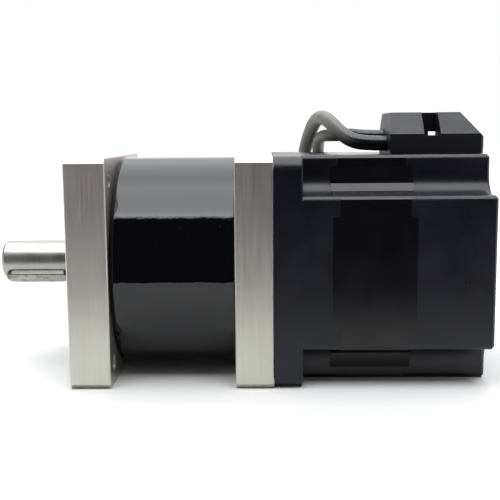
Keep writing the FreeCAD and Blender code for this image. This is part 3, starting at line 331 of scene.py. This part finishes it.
def turned_steel(name, base, rough, lines, depth=0.000012, stain=0.0, metallic=1.0):
    """Metal with fine marks round the shaft axis, and stains where it has been handled."""
    s = Shader(name, Metallic=metallic)
    marks = s.noise(s.stretched(lines, 60, 60), detail=2.0, roughness=0.6)
    cloud = s.noise(s.place, scale=130.0, detail=4.0, roughness=0.6)
    stained = tuple(c * part for c, part in zip(base, STAIN_SHARE)) + (1,)
    plain = s.mix(s.spread(marks), base, scaled(base, 1.12))
    s.colour(s.mix(s.fit(cloud, low=0.55, high=0.80, to_high=stain), plain, stained))
    handled = s.fit(cloud, low=0.4, high=0.8, to_high=0.10)
    s.rough(s.math("ADD", s.spread(marks, rough - 0.04, rough + 0.05), handled))
    s.bump(marks, distance=depth, strength=0.5)
    return s.material


def key_steel(name):
    """Drawn bar, stained at its edges, whose upper side is painted darker than its face: painted shade where
    it meets the shaft.
    """
    s = Shader(name, Metallic=1.0)
    marks = s.noise(s.stretched(60, 900, 900), detail=2.0)
    cloud = s.noise(s.place, scale=420.0, detail=4.0, roughness=0.6)
    # Painted shade: the key's upper side, found by its normal, takes a darker colour.
    shaded_side = s.new("ShaderNodeVectorMath", operation="DOT_PRODUCT")
    s.feed(shaded_side.inputs[0], s.new("ShaderNodeTexCoord").outputs["Normal"])
    shaded_side.inputs[1].default_value = KEY_SHADED_SIDE
    steel = s.mix(s.spread(marks), KEY_DARK, KEY_LIGHT)
    stained = s.mix(s.fit(cloud, low=0.52, high=0.70, to_high=0.8), steel, KEY_STAIN)
    s.colour(s.mix(s.spread(shaded_side.outputs["Value"]), stained, KEY_PAINTED_SHADE))
    s.rough(s.spread(cloud, 0.30, 0.44))
    s.bump(marks, distance=0.00001, strength=0.4)
    return s.material


def moulded(name, colour, rough, grain=1800.0, depth=0.00002, speckle=0.12, **settings):
    """Moulded plastic or rubber: a spark-eroded grain, flow marks and a little dust."""
    s = Shader(name, **settings)
    fine = s.noise(s.place, scale=grain, detail=3.0, roughness=0.65)
    flow = s.noise(s.stretched(60, 90, 40), detail=3.0)
    s.colour(s.mix(s.spread(flow), colour, scaled(colour, 1 + 2 * speckle)))
    s.rough(s.math("ADD", s.spread(flow, rough - 0.04, rough + 0.04), s.spread(fine, -0.05, 0.05)))
    s.bump(fine, distance=depth, strength=0.6)
    return s.material


def bronze(name):
    """Sintered bronze with open pores."""
    s = Shader(name, Metallic=1.0)
    pores = s.specks(scale=3000.0, size=0.25)
    cloud = s.noise(s.place, scale=300.0, detail=3.0)
    s.colour(s.mix(pores, s.mix(s.spread(cloud), BRONZE_DARK, BRONZE_LIGHT), BRONZE_PORE))
    s.rough(s.spread(cloud, 0.32, 0.50))
    s.bump(pores, distance=-0.00002, strength=0.5)
    return s.material


def copper_winding(name):
    """Enamelled wire: turns about 0.8 mm apart, as round ridges along the shaft axis."""
    s = Shader(name, Metallic=0.9, Coat_Weight=0.6, Coat_Roughness=0.15)
    wave = s.new("ShaderNodeTexWave", wave_type="RINGS", rings_direction="X", wave_profile="SIN")
    s.feed(wave.inputs["Vector"], s.place)
    wave.inputs["Scale"].default_value = WIRE_RINGS
    wave.inputs["Distortion"].default_value = 0.4
    turns = wave.outputs["Fac"]
    s.colour(s.mix(turns, COPPER_GAP, COPPER))
    s.rough(s.spread(s.noise(s.place, scale=500.0), 0.22, 0.38))
    s.bump(turns, distance=0.0003, strength=0.8)
    return s.material


def circuit_board(name):
    """Green solder mask over copper tracks on a woven board."""
    s = Shader(name, Coat_Weight=0.4, Coat_Roughness=0.2)
    weave = s.noise(s.stretched(1, 1400, 1400), detail=2.0)
    tracks = s.new("ShaderNodeTexBrick", offset=0.5)
    s.feed(tracks.inputs["Vector"], s.stretched(1, 220, 220))
    tracks.inputs["Color1"].default_value = BOARD_DARK
    tracks.inputs["Color2"].default_value = BOARD_LIGHT
    tracks.inputs["Mortar"].default_value = BOARD_TRACK
    tracks.inputs["Mortar Size"].default_value = 0.03
    s.colour(tracks.outputs["Color"])
    s.rough(s.spread(weave, 0.30, 0.42))
    s.bump(weave, distance=0.00001, strength=0.5)
    return s.material


def cable_sheath(name):
    """A black sleeve at the cover, which gives way to a pale grey woven jacket a short way out."""
    s = Shader(name, Specular_IOR_Level=0.5)
    skin = s.noise(s.place, scale=900.0, detail=3.0, roughness=0.6)
    cloud = s.noise(s.place, scale=160.0, detail=3.0)
    near_cover = s.fit(s.axis(s.place, "X"), *SLEEVE_X)
    above_shaft = s.fit(s.axis(s.place, "Z"), *SLEEVE_Z)
    sleeve = s.math("MULTIPLY", near_cover, above_shaft)
    jacket = s.mix(s.fit(cloud, low=0.35, high=0.7), JACKET_DARK, JACKET_LIGHT)
    s.colour(s.mix(sleeve, jacket, SLEEVE_BLACK))
    s.rough(s.math("ADD", s.fit(sleeve, 0.0, 1.0, 0.50, 0.26), s.spread(skin, -0.04, 0.04)))
    s.bump(skin, distance=0.00003, strength=0.6)
    return s.material


def make_materials():
    """One material for each slot name in the record."""
    recipes = {
        "brushed_aluminium": (brushed_aluminium, {}),
        "gloss_black_enamel": (gloss_black_enamel, {}),
        "satin_black_casting": (satin_casting, {
            "colour": CASTING_BLACK, "rough": 0.34, "grain": 1900.0, "depth": 0.00003}),
        "black_laminations": (laminations, {}),
        "ground_steel": (turned_steel, {
            "base": SHAFT_STEEL, "rough": 0.31, "lines": 3200, "depth": 0.000004, "stain": 0.25}),
        "key_steel": (key_steel, {}),
        "gear_steel": (turned_steel, {
            "base": GEAR_STEEL, "rough": 0.30, "lines": 1800, "depth": 0.00001, "stain": 0.2}),
        "bronze": (bronze, {}),
        "bearing_steel": (turned_steel, {
            "base": BEARING_STEEL, "rough": 0.14, "lines": 4500, "depth": 0.000004}),
        "spring_steel": (turned_steel, {"base": SPRING_STEEL, "rough": 0.36, "lines": 1500, "stain": 0.3}),
        "black_screws": (turned_steel, {"base": SCREW_BLACK, "rough": 0.33, "lines": 1500, "metallic": 0.8}),
        "seal_rubber": (moulded, {"colour": SEAL_BLACK, "rough": 0.62, "grain": 1500.0, "depth": 0.00003}),
        "rotor_iron": (turned_steel, {
            "base": ROTOR_IRON, "rough": 0.36, "lines": 2000, "depth": 0.00003, "stain": 0.5}),
        "magnet_black": (satin_casting, {
            "colour": MAGNET_BLACK, "rough": 0.40, "grain": 2500.0, "depth": 0.00001}),
        "copper_winding": (copper_winding, {}),
        "bobbin_plastic": (moulded, {"colour": BOBBIN_CREAM, "rough": 0.45, "speckle": 0.05}),
        "circuit_board": (circuit_board, {}),
        "cover_plastic": (moulded, {
            "colour": COVER_BLACK, "rough": 0.46, "grain": 1600.0, "depth": 0.00003,
            "Specular_IOR_Level": 0.46}),
        "cable_sheath": (cable_sheath, {}),
        "white_connector": (moulded, {
            "colour": CONNECTOR_WHITE, "rough": 0.42, "speckle": 0.04, "Subsurface_Weight": 0.1,
            "Subsurface_Scale": 0.002}),
    }
    return {name: recipe(name, **settings) for name, (recipe, settings) in recipes.items()}


def dress_nodes(materials):
    """Each CAD node takes the material of its slot in the record."""
    for part in frame["record"]["subparts"]:
        node = NODES[part["node"]]
        for place in node.material_slots:
            place.material = materials[part["material_slot"]]
        if not node.material_slots:
            node.data.materials.append(materials[part["material_slot"]])


def lead(name, route, radius, material):
    """A free lead on one smooth line, with the connector on its far end."""
    curve = bpy.data.curves.new(name, "CURVE")
    curve.dimensions = "3D"
    curve.resolution_u = LEAD_STEPS_ALONG
    curve.bevel_depth = radius * MM
    curve.bevel_resolution = LEAD_STEPS_ROUND
    curve.use_fill_caps = True
    spline = curve.splines.new("NURBS")
    spline.points.add(len(route) - 1)
    for point, place in zip(spline.points, route):
        point.co = tuple(c * MM for c in place) + (1.0,)
    spline.order_u = 3
    spline.use_endpoint_u = True
    piece = bpy.data.objects.new(name, curve)
    bpy.context.scene.collection.objects.link(piece)
    piece.data.materials.append(material)
    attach(piece, "housing")
    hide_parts(name.replace("_lead", "_cable"))


def light_studio():
    """A long soft light overhead, a dark room in front and a pale one behind, seen as white."""
    world = bpy.data.worlds.new("studio")
    bpy.context.scene.world = world
    world.use_nodes = True
    world.node_tree.nodes.clear()
    g = Graph(world.node_tree)
    way = g.new("ShaderNodeTexCoord").outputs["Generated"]
    front = g.math("MULTIPLY", g.axis(way, "Y"), -1.0)
    half_turns = g.math("DIVIDE", g.math("ARCTAN2", g.axis(way, "Z"), front), math.pi)
    band = g.new("ShaderNodeValToRGB")
    g.feed(band.inputs["Fac"], half_turns)
    stops = band.color_ramp.elements
    for place, level, tint in SKY:
        stop = stops.new(place)
        stop.color = (level / SKY_PEAK, level * tint / SKY_PEAK, level * tint * tint / SKY_PEAK, 1)
    stops.remove(stops[-1])
    stops.remove(stops[0])
    side = g.fit(g.math("ABSOLUTE", g.axis(way, "X")), *SIDE_SPAN, smooth=True)
    room = g.mix(side, band.outputs["Color"], grey(SIDE_LEVEL / SKY_PEAK))
    by_camera = g.new("ShaderNodeLightPath").outputs["Is Camera Ray"]
    sky = g.new("ShaderNodeBackground")
    g.feed(sky.inputs["Color"], g.mix(by_camera, room, grey(1 / SKY_PEAK)))
    sky.inputs["Strength"].default_value = SKY_PEAK
    g.feed(g.new("ShaderNodeOutputWorld").inputs["Surface"], sky.outputs["Background"])


def lay_floor():
    """A pale sheet that ends a little in front of the object, out of the camera's view."""
    mesh = bpy.data.meshes.new("floor")
    left, right = -FLOOR_REACH, FLOOR_REACH
    front, back = FLOOR_FRONT_Y, FLOOR_REACH
    corners = [(left, front, FLOOR_Z), (right, front, FLOOR_Z), (right, back, FLOOR_Z), (left, back, FLOOR_Z)]
    mesh.from_pydata(corners, [], [(0, 1, 2, 3)])
    floor = bpy.data.objects.new("floor", mesh)
    bpy.context.scene.collection.objects.link(floor)
    s = Shader("floor", Specular_IOR_Level=0.1)
    s.colour(s.mix(s.spread(s.noise(s.place, scale=3.0)), FLOOR_DARK, FLOOR_LIGHT))
    s.rough(FLOOR_ROUGH)
    floor.data.materials.append(s.material)


place_camera()
materials = make_materials()
sheath = materials["cable_sheath"]
lead("power_lead", POWER_ROUTE, POWER_CABLE_R, sheath)
lead("signal_lead", SIGNAL_ROUTE, SIGNAL_CABLE_R, sheath)
dress_nodes(materials)
light_studio()
lay_floor()
bpy.context.scene.view_settings.view_transform = "Standard"
